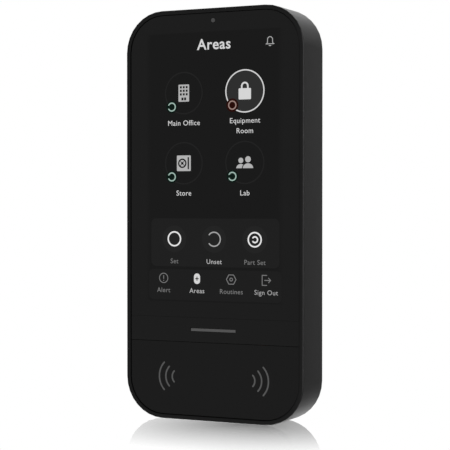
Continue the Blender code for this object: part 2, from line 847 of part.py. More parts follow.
def battery_door():
    """The cover over the battery bay, flush with the housing's back wall."""
    half_w = DOOR_HALF_W - GAP
    z_range = (DOOR_Z[0] + GAP, DOOR_Z[1] - GAP)
    door = box("battery_door", (-half_w, half_w), (-3.3, FLOOR_OUT_Y), z_range, case_plastic())
    for side in (-1, 1):
        at = (side * DOOR_SCREW_X, 0, DOOR_SCREW_Z)
        cut(
            door,
            rod(f"door_hole_{side}", 1.15, (-6, 0), at, steps=16),
            rod(f"door_sink_{side}", 1.95, (-2.8, 0), at, steps=16),
        )
        cut(
            door,
            box(
                f"door_grip_{side}",
                (side * 16 - 6, side * 16 + 6),
                (-2.75, -1.0),
                (DOOR_Z[1] - 5.0, DOOR_Z[1] - 3.6),
            ),
        )
        number = 1 if side < 0 else 2
        screw(f"battery_door_screw_{number}", (at[0], -2.72, at[2]), 1.75, 0.6, 0.85, 6.5)


# ---------------------------------------------------------------- bracket


def mounting_bracket():
    """The wall plate: hooks, screw holes, cable opening, tamper tab and lip."""
    top, bottom = BRACKET_TOP_Z, BRACKET_BOTTOM_Z
    middle, half_h = (top + bottom) / 2, (top - bottom) / 2
    outline = rounded_outline(BRACKET_HALF_W, half_h, 13.6)
    outline = [(x, z + middle) for x, z in outline]
    bracket = plate("mounting_bracket", outline, (PLATE_Y, 0.0), bracket_plastic())
    add_hooks(bracket)
    add_lip(bracket)
    cut_openings(bracket)
    cut_wall_holes(bracket)
    cut_tamper_tab(bracket)


def add_hooks(bracket):
    """Each hook is a neck through the housing's slot, and a finger that points up."""
    for index, (x, z) in enumerate(HOOKS, 1):
        x_range = (x - HOOK_HALF_W, x + HOOK_HALF_W)
        neck = box(f"neck_{index}", x_range, (FINGER_Y[1] - 0.8, PLATE_Y + 0.7), (z, z + NECK_H))
        finger = box(f"finger_{index}", x_range, FINGER_Y, (z, z + FINGER_H))
        unite(bracket, neck, finger)


def add_lip(bracket):
    half = LIP_HALF_W
    tongue = box("tongue", (-half, half), (PLATE_Y, 0.0), (LIP_TOP_Z - 2, BRACKET_BOTTOM_Z + 2))
    block = box("lip", (-half, half), (LIP_FRONT_Y, 0.0), (LIP_BOTTOM_Z, LIP_TOP_Z))
    at = (0, LOCK_Y, 0)
    hole = rod("lip_hole", 1.75, (LIP_BOTTOM_Z - 2, LIP_TOP_Z + 2), at, axis="Z")
    sink_z = (LIP_BOTTOM_Z - 2, LIP_BOTTOM_Z + 2.4)
    sink = rod("lip_sink", 2.9, sink_z, at, axis="Z")
    unite(bracket, tongue, block)
    cut(bracket, hole, sink)


def cut_openings(bracket):
    """The cable opening, and shallow panels that leave ribs on the wall side."""
    half_w, low_z, high_z = CABLE_OPENING
    outline = rounded_outline(half_w, (high_z - low_z) / 2, 2.0, 4)
    at = (0, 0, (low_z + high_z) / 2)
    cut(bracket, plate("cable_opening", outline, (-4, 2), at=at))
    relief_y = (-0.7, 1.0)
    panels = [(0.0, 54.0, 15.0, 9.0), (0.0, -58.0, 15.0, 10.0)]
    panels += [(side * 27.0, 27.0, 6.5, 13.0) for side in (-1, 1)]
    panels += [(side * 23.0, -8.0, 9.0, 11.0) for side in (-1, 1)]
    for index, (x, z, half_w, half_h) in enumerate(panels):
        outline = rounded_outline(half_w, half_h, 2.0, 3)
        cut(bracket, plate(f"relief_{index}", outline, relief_y, at=(x, 0, z)))


def cut_wall_holes(bracket):
    """Countersunk corner holes for wall screws, and a slot for levelling."""
    hole_r, sink_r = 2.0, 4.6
    profile = [
        (0, -3.0),
        (sink_r, -3.0),
        (hole_r, -0.9),
        (hole_r, 1.0),
        (0, 1.0),
    ]
    for index, (x, z) in enumerate([(-27, 69), (27, 69), (-27, -62), (27, -62)]):
        cut(bracket, turned(f"wall_hole_{index}", profile, (x, 0, z), steps=20))
    outline = rounded_outline(7.0, 1.95, 1.9, 5)
    cut(bracket, plate("wall_slot", outline, (-4, 2), at=(0, 0, 72.0)))


def cut_tamper_tab(bracket):
    """A break-off tab with its own wall screw: a slit round it, crossed by bridges."""
    half_w, half_h, slit = 7.0, 13.0, 0.9
    at = (0, 0, -25.0)
    ring = plate("tab_slit", rounded_outline(half_w + slit, half_h + slit, 3.4, 4), (-4, 2), at=at)
    cut(ring, plate("tab_keep", rounded_outline(half_w, half_h, 2.5, 4), (-5, 3), at=at))
    for index, (x, z) in enumerate([(-7.5, 6), (7.5, 6), (-7.5, -6), (7.5, -6)]):
        z_range = (at[2] + z - 0.6, at[2] + z + 0.6)
        cut(ring, box(f"tab_bridge_{index}", (x - 1.5, x + 1.5), (-6, 4), z_range))
    cut(bracket, ring, rod("tab_hole", 2.0, (-4, 2), (0, 0, -32.0), steps=20))


# ---------------------------------------------------------------- moving pieces


def locking_screw():
    """The screw through the bracket's lip: a thread, a head and a hex socket."""
    seat_z = LIP_BOTTOM_Z + 2.0
    at = (0, LOCK_Y, seat_z)
    washer_profile = [(1.6, 0.05), (2.75, 0.05), (2.75, 0.35), (1.6, 0.35)]
    turned_ring("locking_screw_washer", washer_profile, at, black_chip())
    screw_body = threaded_screw("locking_screw", at, 1.45, 9.2, LOCK_PITCH)
    head = [(0, -1.8), (1.9, -1.8), (2.5, -1.3), (2.5, 0.0), (0, 0.0)]
    unite(screw_body, turned("lock_head", head, at, axis="Z", steps=24))
    cut(screw_body, rod("lock_socket", 1.15, (-3, -0.5), at, axis="Z", steps=6))


def turned_ring(name, profile, at, surface, steps=24):
    """A ring along Z whose section is a closed loop of (radius, height) points."""
    bm = bmesh.new()
    rings = []
    for step in range(steps):
        angle = 2 * math.pi * step / steps
        rings.append(
            [bm.verts.new((r * math.cos(angle), r * math.sin(angle), h)) for r, h in profile]
        )
    for index, ring in enumerate(rings):
        other = rings[(index + 1) % steps]
        for corner in range(len(profile)):
            after = (corner + 1) % len(profile)
            bm.faces.new((ring[corner], ring[after], other[after], other[corner]))
    return finish(name, bm, surface, at)


def threaded_screw(name, at, radius, length, pitch):
    """A shank along Z with a right-hand thread, which fades out at both ends."""
    steps, rings_per_turn, depth, plain = 10, 4, 0.22, 4.0
    count = int((length - plain) / pitch * rings_per_turn)
    heights = [-0.2] + [plain + (length - plain) * level / count for level in range(count + 1)]
    bm = bmesh.new()
    rings = []
    for height in heights:
        fade = min(1.0, max(0.0, height - plain), (length - height) / 0.8)
        ring = []
        for step in range(steps):
            share = step / steps
            wave = abs(((height / pitch - share) % 1.0) * 2 - 1)
            reach = radius - depth * (1 - fade) * 0.5 - depth * fade * wave
            angle = 2 * math.pi * share
            ring.append(bm.verts.new((reach * math.cos(angle), reach * math.sin(angle), height)))
        rings.append(ring)
    for low, high in zip(rings, rings[1:]):
        for step in range(steps):
            after = (step + 1) % steps
            bm.faces.new((low[step], low[after], high[after], high[step]))
    bm.faces.new(rings[0])
    bm.faces.new(rings[-1])
    return finish(name, bm, steel(), at)


def tamper_parts():
    """The plunger that feels the bracket's tab, its return spring and its switch."""
    at = (TAMPER_X, 0, TAMPER_Z)
    profile = [
        (0, -8.3),
        (1.4, -8.3),
        (1.4, -5.4),
        (3.6, -5.4),
        (3.6, -4.2),
        (2.5, -4.2),
        (2.5, -2.9),
        (1.9, PLATE_Y - GAP),
        (0, PLATE_Y - GAP),
    ]
    turned("tamper_button", profile, at, inner_plastic(), steps=24)
    coil("tamper_spring", at, (2.9, 2.9), (-10.7, -5.7), 0.4, 4, ("X", -90))
    tact_switch("tamper_switch", TAMPER_X, TAMPER_Z, 1.8, -9.55)


def tact_switch(name, x, z, half, nub_y):
    """A small switch on the main board's rear face."""
    low_y = BOARD_BACK_Y + 0.1
    body = box(name, (x - half, x + half), (low_y, low_y + 0.8), (z - half, z + half), black_chip())
    unite(body, rod(f"{name}_nub", 1.0, (low_y + 0.4, nub_y), (x, 0, z), steps=16))


def power_parts():
    at = (POWER_X, 0, POWER_Z)
    profile = [
        (0, -9.2),
        (1.6, -9.2),
        (1.6, -5.3),
        (4.9, -5.3),
        (4.9, -4.2),
        (3.4, -4.2),
        (3.4, -3.2),
        (3.1, -2.9),
        (0, -2.75),
    ]
    turned("power_button", profile, at, inner_plastic(), steps=28)
    tact_switch("power_switch", POWER_X, POWER_Z, 3.0, -9.9)


def terminal():
    """The supply terminal: a header on the board, and a plug with two clamps."""
    pins_x = (-1.9, 1.9)
    z_range = (TERMINAL_Z - 5.4, TERMINAL_Z + 5.4)
    base_y = (BOARD_BACK_Y + 0.1, -9.3)
    header = box("terminal_header", (-4.4, 4.4), base_y, z_range, terminal_green())
    body_y = (-9.0, -0.8)
    plug = box("terminal_plug", (-4.2, 4.2), body_y, z_range, terminal_green(), 0.3)
    for index, x in enumerate(pins_x, 1):
        pin = (x - 0.5, x + 0.5)
        pin_z = (TERMINAL_Z + 1.5, TERMINAL_Z + 2.5)
        unite(header, box(f"header_pin_{index}", pin, (-9.6, -4.5), pin_z))
        cut(
            plug,
            box(
                f"plug_socket_{index}",
                (x - 0.8, x + 0.8),
                (-10, -4.2),
                (TERMINAL_Z + 1.2, TERMINAL_Z + 2.8),
            ),
            box(
                f"wire_entry_{index}",
                (x - 1.3, x + 1.3),
                (-7.2, -4.4),
                (TERMINAL_Z - 7, TERMINAL_Z - 1.5),
            ),
            rod(f"clamp_hole_{index}", 1.4, (-3.6, 1), (x, 0, TERMINAL_Z - 2.2), steps=16),
        )
        clamp_screw(f"terminal_screw_{index}", (x, -3.5, TERMINAL_Z - 2.2))


def clamp_screw(name, at):
    """A cheese-head clamp screw with a straight slot."""
    profile = [(0, 0), (1.2, 0), (1.2, 1.5), (1.0, 1.7), (0, 1.7)]
    made = turned(name, profile, at, steel(), steps=16)
    x, y, z = at
    cut(made, box(f"{name}_slot", (x - 2, x + 2), (y + 1.2, y + 3), (z - 0.2, z + 0.2)))


def main():
    clear_scene()
    rear_housing()
    chassis()
    case_screws()
    touch_glass()
    indicator_strip()
    indicator_light_bar()
    reader_cover()
    tapes()
    light_sensor()
    display()
    flexes()
    main_board()
    board_screws()
    radio_parts()
    sounder()
    reader_antenna()
    indicator_led_board()
    battery_tray()
    batteries()
    battery_contacts()
    battery_door()
    mounting_bracket()
    locking_screw()
    tamper_parts()
    power_parts()
    terminal()


main()
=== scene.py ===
"""The looks of the wall keypad: materials, the lit screen, the camera and the lights.

Lengths are in millimetres, and MM turns them into metres where Blender takes them.
The origin is on the wall face at the keypad's middle, +Z is up, and the screen faces -Y.
"""

import math

import bmesh
import bpy
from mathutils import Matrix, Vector


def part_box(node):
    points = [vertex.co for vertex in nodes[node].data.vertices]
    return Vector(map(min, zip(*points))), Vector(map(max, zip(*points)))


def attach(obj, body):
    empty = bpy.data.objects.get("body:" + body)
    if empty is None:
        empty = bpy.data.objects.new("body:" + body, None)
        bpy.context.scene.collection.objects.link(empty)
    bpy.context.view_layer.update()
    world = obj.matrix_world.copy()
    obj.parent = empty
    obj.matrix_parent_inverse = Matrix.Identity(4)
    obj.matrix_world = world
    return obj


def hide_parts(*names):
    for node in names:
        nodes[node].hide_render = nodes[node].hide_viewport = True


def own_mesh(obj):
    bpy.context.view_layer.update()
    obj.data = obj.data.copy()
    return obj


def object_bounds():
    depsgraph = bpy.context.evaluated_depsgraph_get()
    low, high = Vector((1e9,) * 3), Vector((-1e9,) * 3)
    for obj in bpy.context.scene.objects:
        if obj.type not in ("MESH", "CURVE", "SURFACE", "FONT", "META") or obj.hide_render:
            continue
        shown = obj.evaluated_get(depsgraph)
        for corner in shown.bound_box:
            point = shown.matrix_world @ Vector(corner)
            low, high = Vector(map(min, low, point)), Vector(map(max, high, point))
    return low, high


MM = 0.001

# Camera, fitted to the viewing angle: degrees round the keypad, and millimetres
CAMERA_TURN = 25.98
CAMERA_DISTANCE = 611.5
CAMERA_SIDE = 0.48
CAMERA_HEIGHT = 4.5
CAMERA_PITCH = 0.81
CAMERA_LENS = 118.7
SENSOR = 36.0

# The CAD nodes' shading: vertices closer than this are one, and sharper edges stay sharp
WELD = 0.002
SHARP_DEGREES = 32

# Front surfaces: gloss, the printed black round the screen, and the unlit screen
GLASS_GLOSS = 0.13
PRINT_BLACK = 29
SCREEN_BLACK = 8
HOLE_BLACK = 6
SMUDGE_SCALE = (0.03, 0.03, 0.09)
SMUDGE_DEPTH = 0.05

# The screen's lit part, from the keypad's centre, and the width of its soft edge
SCREEN_HALF_W = 31.0
SCREEN_LOW, SCREEN_HIGH = -35.5, 74.5
SCREEN_EDGE = 2.4

# The picture: the step between its layers, their thickness, and its shift to the right
LAYER = 0.03
SKIN = 0.012
PICTURE_SHIFT = 0.5

# Lettering: a capital's share of the font size, and the space between the letters
CAP_SHARE = 0.682
LETTER_SPACE = 1.06

# The tamper button's spring: its wire's thickness in millimetres, its turns, and its mesh steps
SPRING_WIRE = 0.4
SPRING_TURNS = 4
SPRING_STEPS = 32
SPRING_SIDES = 10

# The side light, in metres and watts
RIGHT_PLACE = (1.0, 0.12, 0.1)
RIGHT_SIZE = (0.45, 0.9)
RIGHT_POWER = 2.4

# The dim room's brightness, and its zones. Each zone has the direction of its middle, and
# the two cosines between which its brightness goes from the first share to the second.
ROOM = 0.255
BACKDROP = ((-0.36, 0.93, 0), 0.78, 0.9, 0, 1)
DIM_ZONES = (
    ((-1, 0, 0), 0.55, 0.85, 1, 0.1),
    ((0, 0, 1), 0.5, 0.85, 1, 0.45),
    ((0.5, 0.87, -0.3), 0.8, 0.98, 1, 0.2),
)
# A ray that has left the camera and met the floor's mirror has a depth below this
FIRST_MIRROR = 2.5

# The floor: half its width in metres, the mirror's strength at the foot, how fast it weakens
# when seen from above, and the distance at which it has faded out round the foot's box
FLOOR = 3.0
MIRROR = 1.29
MIRROR_FALL = 3.0
FADE = 66.0
FOOT_CENTRE = (19.0, -11.0, -84.0)
FOOT_HALF = (5.0, 10.0, 10.0)

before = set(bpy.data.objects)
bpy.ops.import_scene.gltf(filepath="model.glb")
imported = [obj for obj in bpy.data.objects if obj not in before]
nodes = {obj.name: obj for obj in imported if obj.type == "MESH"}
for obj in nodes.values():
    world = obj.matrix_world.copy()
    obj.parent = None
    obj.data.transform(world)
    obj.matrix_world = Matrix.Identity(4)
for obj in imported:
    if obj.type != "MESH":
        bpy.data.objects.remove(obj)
cad_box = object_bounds()
GLASS_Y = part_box("touch_glass")[0].y / MM
COVER_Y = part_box("reader_cover")[0].y / MM


# ---------------------------------------------------------------- node helpers


def srgb(value):
    """A 0-255 screen value, or three of them, as a linear colour."""
    values = value if isinstance(value, (tuple, list)) else (value,) * 3
    linear = []
    for v in values:
        v /= 255
        linear.append(v / 12.92 if v <= 0.04045 else ((v + 0.055) / 1.055) ** 2.4)
    return (*linear, 1.0)


class Shader:
    """A material with one Principled shader, and short calls that add nodes to it."""

    def __init__(self, name, colour, roughness, metallic=0.0, specular=0.5):
        self.material = bpy.data.materials.new(name)
        self.material.use_nodes = True
        self.tree = self.material.node_tree
        self.main = self.tree.nodes["Principled BSDF"]
        self.set("Base Color", srgb(colour))
        self.set("Roughness", roughness)
        self.set("Metallic", metallic)
        self.set("Specular IOR Level", specular)

    def set(self, socket, value):
        self.main.inputs[socket].default_value = value

    def node(self, kind, **settings):
        made = self.tree.nodes.new(kind)
        for name, value in settings.items():
            setattr(made, name, value)
        return made

    def link(self, output, socket):
        self.tree.links.new(output, socket)

    def place(self, scale=1.0):
        """Object coordinates in millimetres, times a scale on each axis."""
        coords = self.node("ShaderNodeTexCoord")
        mapping = self.node("ShaderNodeMapping")
        scales = scale if isinstance(scale, (tuple, list)) else (scale,) * 3
        mapping.inputs["Scale"].default_value = [s / MM for s in scales]
        self.link(coords.outputs["Object"], mapping.inputs["Vector"])
        return mapping.outputs["Vector"]

    def noise(self, scale, detail=3.0, roughness=0.5):
        made = self.node("ShaderNodeTexNoise")
        made.inputs["Scale"].default_value = 1.0
        made.inputs["Detail"].default_value = detail
        made.inputs["Roughness"].default_value = roughness
        self.link(self.place(scale), made.inputs["Vector"])
        return made.outputs["Fac"]

    def spread(self, value, low, high, start=0.3, end=0.7):
        """Maps a 0-1 pattern to a range of plain values."""
        made = self.node("ShaderNodeMapRange")
        made.inputs["From Min"].default_value = start
        made.inputs["From Max"].default_value = end
        made.inputs["To Min"].default_value = low
        made.inputs["To Max"].default_value = high
        self.link(value, made.inputs["Value"])
        return made.outputs["Result"]

    def blend(self, factor, first, second):
        """Mixes two colours by a pattern."""
        made = self.node("ShaderNodeMix", data_type="RGBA")
        sockets = {socket.identifier: socket for socket in made.inputs}
        self.link(factor, sockets["Factor_Float"])
        sockets["A_Color"].default_value = first
        sockets["B_Color"].default_value = second
        return [out for out in made.outputs if out.identifier == "Result_Color"][0]

    def vary(self, pattern, amount):
        """Lets a pattern drift the roughness to both sides of its set value."""
        socket = self.main.inputs["Roughness"]
        middle = socket.default_value
        self.link(self.spread(pattern, middle - amount, middle + amount), socket)

    def smudge(self):
        """Faint wiped smudges in the gloss, long across and short up."""
        self.vary(self.noise(SMUDGE_SCALE, detail=5.0), SMUDGE_DEPTH)

    def bump(self, height, distance, strength=1.0):
        """A bump from a pattern; distance is in millimetres."""
        made = self.node("ShaderNodeBump")
        made.inputs["Strength"].default_value = strength
        made.inputs["Distance"].default_value = distance * MM
        self.link(height, made.inputs["Height"])
        self.link(made.outputs["Normal"], self.main.inputs["Normal"])


def moulded(name, colour, roughness, grain=6.0, depth=0.006):
    """Moulded plastic: a fine spark-eroded grain, and a faint drift in colour and gloss."""
    shader = Shader(name, colour, roughness)
    drift = shader.noise(0.05, detail=2.0)
    darker = tuple(c * 0.88 for c in srgb(colour)[:3]) + (1.0,)
    lighter = tuple(c * 1.12 for c in srgb(colour)[:3]) + (1.0,)
    shader.link(shader.blend(drift, darker, lighter), shader.main.inputs["Base Color"])
    fine = shader.noise(grain, detail=2.0)
    rough = shader.spread(fine, roughness - 0.04, roughness + 0.05)
    shader.link(rough, shader.main.inputs["Roughness"])
    shader.bump(fine, depth)
    return shader


# ---------------------------------------------------------------- looks of the CAD nodes


def smooth(obj):
    """Smooth shading with clean edges, by modifiers that leave the mesh as it is."""
    for polygon in obj.data.polygons:
        polygon.use_smooth = True
    weld = obj.modifiers.new("weld", "WELD")
    weld.merge_threshold = WELD * MM
    split = obj.modifiers.new("sharp_edges", "EDGE_SPLIT")
    split.split_angle = math.radians(SHARP_DEGREES)
    flat = obj.modifiers.new("flat_faces", "WEIGHTED_NORMAL")
    flat.keep_sharp = True


def dress(shader, *names):
    """Gives CAD nodes one material."""
    for name in names:
        mesh = nodes[name].data
        mesh.materials.clear()
        mesh.materials.append(shader.material)
        smooth(nodes[name])


def numbered(stem, count):
    return [f"{stem}_{index}" for index in range(1, count + 1)]


def case_looks():
    dress(moulded("case_plastic", 30, 0.32), "rear_housing", "battery_door")
    dress(moulded("bracket_plastic", 44, 0.5), "mounting_bracket")
    dress(moulded("inner_plastic", 88, 0.55), "chassis", "battery_tray")
    dress(moulded("button_plastic", 60, 0.45), "tamper_button", "power_button")


def front_looks():
    dress(cover_glass("black_glass"), "touch_glass")
    dress(cover_glass("strip_glass"), "indicator_strip")
    dress(moulded("reader_cover_plastic", 26, 0.24, 9.0, 0.001), "reader_cover")
    bar = Shader("light_guide", 165, 0.4)
    bar.vary(bar.noise(1.0), 0.08)
    dress(bar, "indicator_light_bar")
    window = Shader("sensor_window", 140, 0.14)
    window.vary(window.noise(2.0), 0.04)
    dress(window, "light_sensor_window")


def cover_glass(name):
    """Glass printed black on its back, with wiped smudges in its gloss."""
    glass = Shader(name, PRINT_BLACK, GLASS_GLOSS)
    glass.smudge()
    return glass


def circuit_board():
    """Green lacquer over rows of copper tracks, which fill some areas and leave others plain."""
    plain, copper_under = srgb((14, 70, 40)), srgb((30, 104, 62))
    board = Shader("circuit_board", (14, 70, 40), 0.35)
    tracks = board.node("ShaderNodeTexBrick", offset=0.37, squash=0.55, squash_frequency=3)
    for socket, value in (
        ("Scale", 1.0),
        ("Mortar Size", 0.13),
        ("Brick Width", 17.0),
        ("Row Height", 0.75),
        ("Color1", plain),
        ("Color2", plain),
    ):
        tracks.inputs[socket].default_value = value
    blocks = board.node("ShaderNodeTexVoronoi", distance="CHEBYCHEV")
    blocks.inputs["Scale"].default_value = 1.0
    board.link(board.place(0.09), blocks.inputs["Vector"])
    patches = board.spread(blocks.outputs["Color"], 0, 1, 0.48, 0.49)
    board.link(board.blend(patches, plain, copper_under), tracks.inputs["Mortar"])
    turned = board.node("ShaderNodeMapping")
    turned.inputs["Rotation"].default_value = (math.radians(90), 0, 0)
    board.link(board.place(0.6), turned.inputs["Vector"])
    board.link(turned.outputs["Vector"], tracks.inputs["Vector"])
    board.link(tracks.outputs["Color"], board.main.inputs["Base Color"])
    return board


def flex_film():
    """Amber film with its conductors showing as stripes."""
    film = Shader("flex_film", (150, 84, 30), 0.3)
    lines = film.node("ShaderNodeTexWave", wave_type="BANDS", bands_direction="X")
    lines.inputs["Scale"].default_value = 0.5
    film.link(film.place(1.0), lines.inputs["Vector"])
    striped = film.blend(lines.outputs["Fac"], srgb((120, 62, 20)), srgb((186, 116, 50)))
    film.link(striped, film.main.inputs["Base Color"])
    return film


def board_looks():
    dress(
        circuit_board(),
        "main_board",
        "light_sensor_board",
        "reader_antenna_board",
        "indicator_led_board",
    )
    dress(
        moulded("black_moulding", 30, 0.5, 5.0, 0.004),
        "display_connector",
        "touch_connector",
        "reader_connector",
        "radio_module",
        "sounder",
        "tamper_switch",
        "power_switch",
        "locking_screw_washer",
    )
    dress(flex_film(), "display_flex", "touch_flex", "reader_flex")


def plated_steel():
    steel = Shader("plated_steel", 190, 0.26, metallic=1.0)
    worn = steel.noise(1.5, detail=4.0)
    steel.link(steel.spread(worn, 0.2, 0.36), steel.main.inputs["Roughness"])
    steel.bump(worn, 0.003)
    return steel


def brushed_shield():
    """Sheet metal with a grain that runs across."""
    brushed = Shader("brushed_shield", 175, 0.32, metallic=1.0)
    grain = brushed.noise((0.05, 4.0, 4.0), detail=3.0)
    brushed.link(brushed.spread(grain, 0.24, 0.42), brushed.main.inputs["Roughness"])
    brushed.bump(grain, 0.002)
    return brushed


def tarnished_copper():
    copper = Shader("copper", (200, 128, 84), 0.3, metallic=1.0)
    tarnish = copper.noise(0.3)
    toned = copper.blend(tarnish, srgb((176, 104, 66)), srgb((214, 144, 98)))
    copper.link(toned, copper.main.inputs["Base Color"])
    return copper


def metal_looks():
    screws = numbered("case_screw", 4) + numbered("board_screw", 4)
    screws += numbered("battery_door_screw", 2) + numbered("terminal_screw", 2)
    dress(
        plated_steel(),
        *screws,
        "locking_screw",
        "tamper_spring",
        "battery_spring_1",
        "battery_spring_2",
        "negative_contact",
        "positive_contact",
        "bridge_contact",
    )
    dress(brushed_shield(), "processor_shield", "backlight_unit")
    dress(tarnished_copper(), "reader_antenna_coil", "radio_antenna")


def wound_wire(low, high):
    """A helix of round wire along Y that fills a box, as a closed mesh."""
    wire = SPRING_WIRE * MM / 2
    radius = (high.x - low.x) / 2 - wire
    centre = (low + high) / 2
    start, end = low.y + wire, high.y - wire
    steps = SPRING_TURNS * SPRING_STEPS
    mesh = bmesh.new()
    rings = []
    for step in range(steps + 1):
        angle = math.tau * step / SPRING_STEPS
        along = start + (end - start) * step / steps
        ring = []
        for side in range(SPRING_SIDES):
            around = math.tau * side / SPRING_SIDES
            reach = radius + wire * math.cos(around)
            x = centre.x + reach * math.cos(angle)
            z = centre.z + reach * math.sin(angle)
            ring.append(mesh.verts.new((x, along + wire * math.sin(around), z)))
        rings.append(ring)
    for first, second in zip(rings, rings[1:]):
        for side in range(SPRING_SIDES):
            after = (side + 1) % SPRING_SIDES
            mesh.faces.new((first[side], first[after], second[after], second[side]))
    mesh.faces.new(rings[0])
    mesh.faces.new(rings[-1])
    bmesh.ops.recalc_face_normals(mesh, faces=mesh.faces)
    for face in mesh.faces:
        face.smooth = len(face.verts) == 4
    return mesh


def tamper_coil():
    """The tamper button's spring, wound anew as a round wire helix that fills the spring's box.
    """
    low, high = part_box("tamper_spring")
    mesh = wound_wire(low, high)
    data = bpy.data.meshes.new("tamper_coil")
    mesh.to_mesh(data)
    mesh.free()
    data.materials.append(nodes["tamper_spring"].data.materials[0])
    coil = bpy.data.objects.new("tamper_coil", data)
    bpy.context.scene.collection.objects.link(coil)
    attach(coil, "keypad")
    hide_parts("tamper_spring")
    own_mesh(coil)


def soft_and_power_looks():
    foam = Shader("black_foam", 34, 0.95, specular=0.2)
    cells = foam.node("ShaderNodeTexVoronoi")
    cells.inputs["Scale"].default_value = 1.0
    foam.link(foam.place(3.0), cells.inputs["Vector"])
    foam.bump(cells.outputs["Distance"], 0.05)
    dress(foam, "glass_tape", "reader_cover_tape", "ferrite_sheet")
    dress(Shader("screen_glass", 18, 0.1), "lcd_panel")
    dress(moulded("terminal_plastic", (28, 110, 60), 0.42), "terminal_header", "terminal_plug")
    for index in (1, 2):
        dress(cell_wrap(f"cell_wrap_{index}", f"battery_{index}"), f"battery_{index}")


def cell_wrap(name, node):
    """An unprinted cell sleeve: dark, with a lighter band towards its nub."""
    low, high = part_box(node)
    side = 1 if abs(high.x) > abs(low.x) else -1
    wrap = Shader(name, 60, 0.3)
    split = wrap.node("ShaderNodeSeparateXYZ")
    wrap.link(wrap.place(1.0), split.inputs["Vector"])
    band = wrap.spread(split.outputs["X"], 0.0, 1.0, side * 12.0, side * 12.3)
    printed = wrap.blend(band, srgb((52, 58, 66)), srgb((150, 154, 158)))
    wrap.link(printed, wrap.main.inputs["Base Color"])
    return wrap


# ---------------------------------------------------------------- flat drawing


class Drawing:
    """Flat faces in the screen's plane, which become one piece with one material."""

    def __init__(self, name, shader, layer, front_y=None, shift=PICTURE_SHIFT):
        self.name = name
        self.shader = shader
        self.x = shift
        self.y = (GLASS_Y if front_y is None else front_y) - LAYER * layer
        self.mesh = bmesh.new()

    def face(self, points):
        made = [self.mesh.verts.new(((x + self.x) * MM, self.y * MM, z * MM)) for x, z in points]
        self.mesh.faces.new(made)

    def band(self, outer, inner, closed=True):
        """Faces between two lists of points of the same length."""
        count = len(outer)
        for index in range(count if closed else count - 1):
            after = (index + 1) % count
            self.face([outer[index], outer[after], inner[after], inner[index]])

    def disc(self, x, z, radius, steps=32):
        self.face(arc(x, z, radius, 0, 360 - 360 / steps, steps - 1))

    def ring(self, x, z, radius, stroke, start=0, end=360):
        """A ring, or an arc with round ends, whose stroke is centred on the radius."""
        steps = max(8, int(abs(end - start) / 7))
        outer = arc(x, z, radius + stroke / 2, start, end, steps)
        inner = arc(x, z, radius - stroke / 2, start, end, steps)
        if abs(end - start) == 360:
            self.band(outer[:-1], inner[:-1])
            return
        self.band(outer, inner, closed=False)
        for angle, turn in ((start, -90), (end, 90)):
            cx = x + radius * math.cos(math.radians(angle))
            cz = z + radius * math.sin(math.radians(angle))
            self.face(arc(cx, cz, stroke / 2, angle + turn - 90, angle + turn + 90, 6))

    def panel(self, x_range, z_range, radius, steps=6):
        """A filled rounded rectangle."""
        low_x, high_x = x_range
        low_z, high_z = z_range
        points = []
        corners = (
            (high_x - radius, high_z - radius, 0),
            (low_x + radius, high_z - radius, 90),
            (low_x + radius, low_z + radius, 180),
            (high_x - radius, low_z + radius, 270),
        )
        for x, z, start in corners:
            points += arc(x, z, radius, start, start + 90, steps)
        self.face(points)

    def stroke(self, path, width, closed=False):
        """A line of even width along points, with mitred corners and round ends."""
        sides = [[], []]
        count = len(path)
        for index, here in enumerate(path):
            before = path[index - 1] if closed or index else None
            after = path[(index + 1) % count] if closed or index < count - 1 else None
            into = unit(before, here) if before else unit(here, after)
            out = unit(here, after) if after else into
            scale = width / 2 / (1 + into[0] * out[0] + into[1] * out[1])
            normal = (-(into[1] + out[1]) * scale, (into[0] + out[0]) * scale)
            sides[0].append((here[0] - normal[0], here[1] - normal[1]))
            sides[1].append((here[0] + normal[0], here[1] + normal[1]))
        self.band(sides[0], sides[1], closed)
        if not closed:
            for end, other in ((path[0], path[1]), (path[-1], path[-2])):
                angle = math.degrees(math.atan2(end[1] - other[1], end[0] - other[0]))
                self.face(arc(*end, width / 2, angle - 90, angle + 90, 6))

    def text(self, words, x, z, cap, weight=0.0):
        """Centred words, with their capitals' height and an extra stroke weight in mm."""
        curve = bpy.data.curves.new("words", "FONT")
        curve.body = words
        curve.align_x = "CENTER"
        curve.resolution_u = 3
        curve.space_character = LETTER_SPACE
        scale = cap / CAP_SHARE
        curve.offset = weight / scale
        obj = bpy.data.objects.new("words", curve)
        bpy.context.scene.collection.objects.link(obj)
        bpy.context.view_layer.update()
        shape = obj.to_mesh()
        made = [
            self.mesh.verts.new(
                (
                    (self.x + x + v.co.x * scale) * MM,
                    self.y * MM,
                    (z - cap / 2 + v.co.y * scale) * MM,
                )
            )
            for v in shape.vertices
        ]
        for polygon in shape.polygons:
            self.mesh.faces.new([made[index] for index in polygon.vertices])
        obj.to_mesh_clear()
        bpy.data.objects.remove(obj)
        bpy.data.curves.remove(curve)

    def finish(self):
        """Turns the faces outwards, gives them a thickness, and sets them on the keypad."""
        mesh = bpy.data.meshes.new(self.name)
        bmesh.ops.remove_doubles(self.mesh, verts=self.mesh.verts, dist=0.001 * MM)
        for made in self.mesh.faces:
            made.normal_update()
            if made.normal.y > 0:
                made.normal_flip()
        self.mesh.to_mesh(mesh)
        self.mesh.free()
        mesh.materials.append(self.shader.material)
        obj = bpy.data.objects.new(self.name, mesh)
        bpy.context.scene.collection.objects.link(obj)
        skin = obj.modifiers.new("skin", "SOLIDIFY")
        skin.thickness = SKIN * MM
        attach(obj, "keypad")


